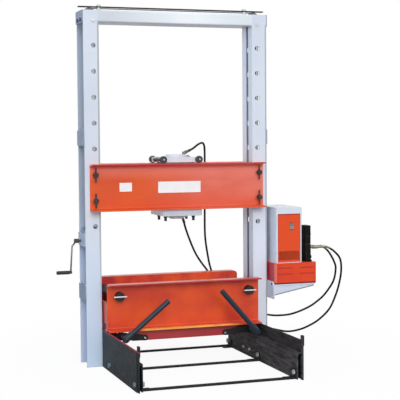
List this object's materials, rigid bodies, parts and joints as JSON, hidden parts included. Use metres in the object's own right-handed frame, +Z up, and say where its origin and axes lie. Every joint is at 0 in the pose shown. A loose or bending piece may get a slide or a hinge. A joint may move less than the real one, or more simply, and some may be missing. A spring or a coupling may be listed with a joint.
{
  "type": "rollbed press",
  "caption": "Hydraulic H-frame shop press with a pin-adjusted head, a rolling cylinder, a bed that rolls out on floor tracks, a hand winch and a motor pump.",
  "frame": {"origin": "on the floor, midway between the two uprights and in the middle of their depth", "axes": "+X to the right along the head, as seen by the operator; -Y towards the operator, the way the bed rolls out; +Z up"},
  "size_m": [2.0115, 1.2938, 2.356],
  "materials": {
    "frame_paint": "semi-gloss",
    "black_paint": "satin",
    "orange_paint": "gloss",
    "red_paint": "semi-gloss",
    "lever_paint": "semi-gloss",
    "cover_sheet": "satin",
    "bright_steel": "zinc plated",
    "black_steel": "black oxide",
    "cast_iron": "painted black",
    "wire_rope": "galvanised, greasy",
    "chrome": "polished",
    "hose_rubber": "matte",
    "fitting_brass": "dull plated",
    "grip_plastic": "matte",
    "switch_plastic": "gloss"
  },
  "bodies": {
    "frame": {"left_front_upright": "frame_paint", "left_rear_upright": "frame_paint", "right_front_upright": "frame_paint", "right_rear_upright": "frame_paint", "tie_plates": "frame_paint", "top_rail": "frame_paint", "sheave_brackets": "black_paint", "short_lift_rope": "wire_rope", "long_lift_rope": "wire_rope", "rope_terminals": "bright_steel", "winch_frame": "black_paint", "winch_gear_case": "cast_iron", "head_front_channel": "orange_paint", "head_rear_channel": "orange_paint", "head_spacers": "orange_paint", "left_track": "black_paint", "right_track": "black_paint", "cross_ties": "black_paint", "frame_bolts": "bright_steel", "pump_bracket": "frame_paint", "pump_tank": "orange_paint", "pump_cover": "cover_sheet", "pump_panel": "orange_paint", "pump_valve": "black_paint", "pump_couplers": "fitting_brass", "advance_hose": "hose_rubber", "return_hose": "hose_rubber"},
    "carriage": {"trolley_plate": "frame_paint", "clamp_plate": "frame_paint", "clamp_studs": "black_steel", "cylinder": "frame_paint", "cylinder_fittings": "fitting_brass"},
    "left_trolley_wheels": {"left_trolley_wheels": "cast_iron"},
    "right_trolley_wheels": {"right_trolley_wheels": "cast_iron"},
    "ram": {"ram": "chrome"},
    "upper_left_head_pin": {"upper_left_head_pin": "black_steel"},
    "lower_left_head_pin": {"lower_left_head_pin": "black_steel"},
    "upper_right_head_pin": {"upper_right_head_pin": "black_steel"},
    "lower_right_head_pin": {"lower_right_head_pin": "black_steel"},
    "bed": {"bed_front_channel": "orange_paint", "bed_rear_channel": "orange_paint", "bed_end_plates": "orange_paint", "bed_spreaders": "orange_paint", "bed_lift_bar": "red_paint", "bed_lift_arms": "black_paint", "bed_axle_blocks": "black_paint", "bed_pads": "black_paint"},
    "front_bed_wheels": {"front_bed_wheels": "cast_iron"},
    "rear_bed_wheels": {"rear_bed_wheels": "cast_iron"},
    "left_bed_pin": {"left_bed_pin": "black_steel"},
    "right_bed_pin": {"right_bed_pin": "black_steel"},
    "left_lever": {"left_lever": "lever_paint"},
    "right_lever": {"right_lever": "lever_paint"},
    "crank": {"crank": "black_steel"},
    "crank_grip": {"crank_grip": "grip_plastic"},
    "winch_drum": {"winch_drum": "black_steel"},
    "left_sheave": {"left_sheave": "cast_iron"},
    "right_sheave": {"right_sheave": "cast_iron"},
    "pump_switch": {"pump_switch": "switch_plastic"}
  },
  "joints": [
    {"name": "carriage_travel", "type": "slide", "parent": "frame", "child": "carriage", "axis": [1, 0, 0], "range_m": [-0.34, 0.34], "deforming": ["advance_hose", "return_hose"]},
    {"name": "left_trolley_wheels_turn", "type": "hinge", "parent": "carriage", "child": "left_trolley_wheels", "pos_m": [-0.112, 0, 1.344], "axis": [0, 1, 0], "continuous": true},
    {"name": "right_trolley_wheels_turn", "type": "hinge", "parent": "carriage", "child": "right_trolley_wheels", "pos_m": [0.136, 0, 1.344], "axis": [0, 1, 0], "continuous": true},
    {"name": "ram_stroke", "type": "slide", "parent": "carriage", "child": "ram", "axis": [0, 0, -1], "range_m": [0, 0.33]},
    {"name": "upper_left_head_pin_pull", "type": "slide", "parent": "frame", "child": "upper_left_head_pin", "axis": [0, -1, 0], "range_m": [0, 0.25]},
    {"name": "lower_left_head_pin_pull", "type": "slide", "parent": "frame", "child": "lower_left_head_pin", "axis": [0, -1, 0], "range_m": [0, 0.25]},
    {"name": "upper_right_head_pin_pull", "type": "slide", "parent": "frame", "child": "upper_right_head_pin", "axis": [0, -1, 0], "range_m": [0, 0.25]},
    {"name": "lower_right_head_pin_pull", "type": "slide", "parent": "frame", "child": "lower_right_head_pin", "axis": [0, -1, 0], "range_m": [0, 0.25]},
    {"name": "bed_roll_out", "type": "slide", "parent": "frame", "child": "bed", "axis": [0, -1, 0], "range_m": [0, 0.62]},
    {"name": "front_bed_wheels_turn", "type": "hinge", "parent": "bed", "child": "front_bed_wheels", "pos_m": [0, -0.162, 0.205], "axis": [1, 0, 0], "continuous": true},
    {"name": "rear_bed_wheels_turn", "type": "hinge", "parent": "bed", "child": "rear_bed_wheels", "pos_m": [0, 0.162, 0.205], "axis": [1, 0, 0], "continuous": true},
    {"name": "left_bed_pin_pull", "type": "slide", "parent": "bed", "child": "left_bed_pin", "axis": [0, -1, 0], "range_m": [0, 0.2]},
    {"name": "right_bed_pin_pull", "type": "slide", "parent": "bed", "child": "right_bed_pin", "axis": [0, -1, 0], "range_m": [0, 0.2]},
    {"name": "left_lever_swing", "type": "hinge", "parent": "bed", "child": "left_lever", "pos_m": [-0.445, 0, 0.215], "axis": [0, -1, 0], "range_deg": [0, 75]},
    {"name": "right_lever_swing", "type": "hinge", "parent": "bed", "child": "right_lever", "pos_m": [0.445, 0, 0.215], "axis": [0, 1, 0], "range_deg": [0, 65]},
    {"name": "crank_turn", "type": "hinge", "parent": "frame", "child": "crank", "pos_m": [-0.66, 0.029, 0.818], "axis": [1, 0, 0], "continuous": true},
    {"name": "crank_grip_turn", "type": "hinge", "parent": "crank", "child": "crank_grip", "pos_m": [-0.75, 0.029, 0.612], "axis": [1, 0, 0], "continuous": true},
    {"name": "winch_drum_turn", "type": "hinge", "parent": "frame", "child": "winch_drum", "pos_m": [-0.5807, 0, 0.864], "axis": [0, 1, 0], "continuous": true},
    {"name": "left_sheave_turn", "type": "hinge", "parent": "frame", "child": "left_sheave", "pos_m": [-0.57, 0, 2.294], "axis": [0, 1, 0], "continuous": true},
    {"name": "right_sheave_turn", "type": "hinge", "parent": "frame", "child": "right_sheave", "pos_m": [0.57, 0, 2.294], "axis": [0, 1, 0], "continuous": true},
    {"name": "pump_switch_tip", "type": "hinge", "parent": "frame", "child": "pump_switch", "pos_m": [0.771, -0.188, 0.884], "axis": [1, 0, 0], "range_deg": [-10, 10]}
  ],
  "couplings": [
    {"joint": "left_trolley_wheels_turn", "follows": "carriage_travel", "rad_per_m": 41.667},
    {"joint": "right_trolley_wheels_turn", "follows": "carriage_travel", "rad_per_m": 41.667},
    {"joint": "front_bed_wheels_turn", "follows": "bed_roll_out", "rad_per_m": 26.316},
    {"joint": "rear_bed_wheels_turn", "follows": "bed_roll_out", "rad_per_m": 26.316},
    {"joint": "winch_drum_turn", "follows": "crank_turn", "ratio": 0.05},
    {"joint": "left_sheave_turn", "follows": "crank_turn", "ratio": 0.0351},
    {"joint": "right_sheave_turn", "follows": "crank_turn", "ratio": 0.0351}
  ]
}
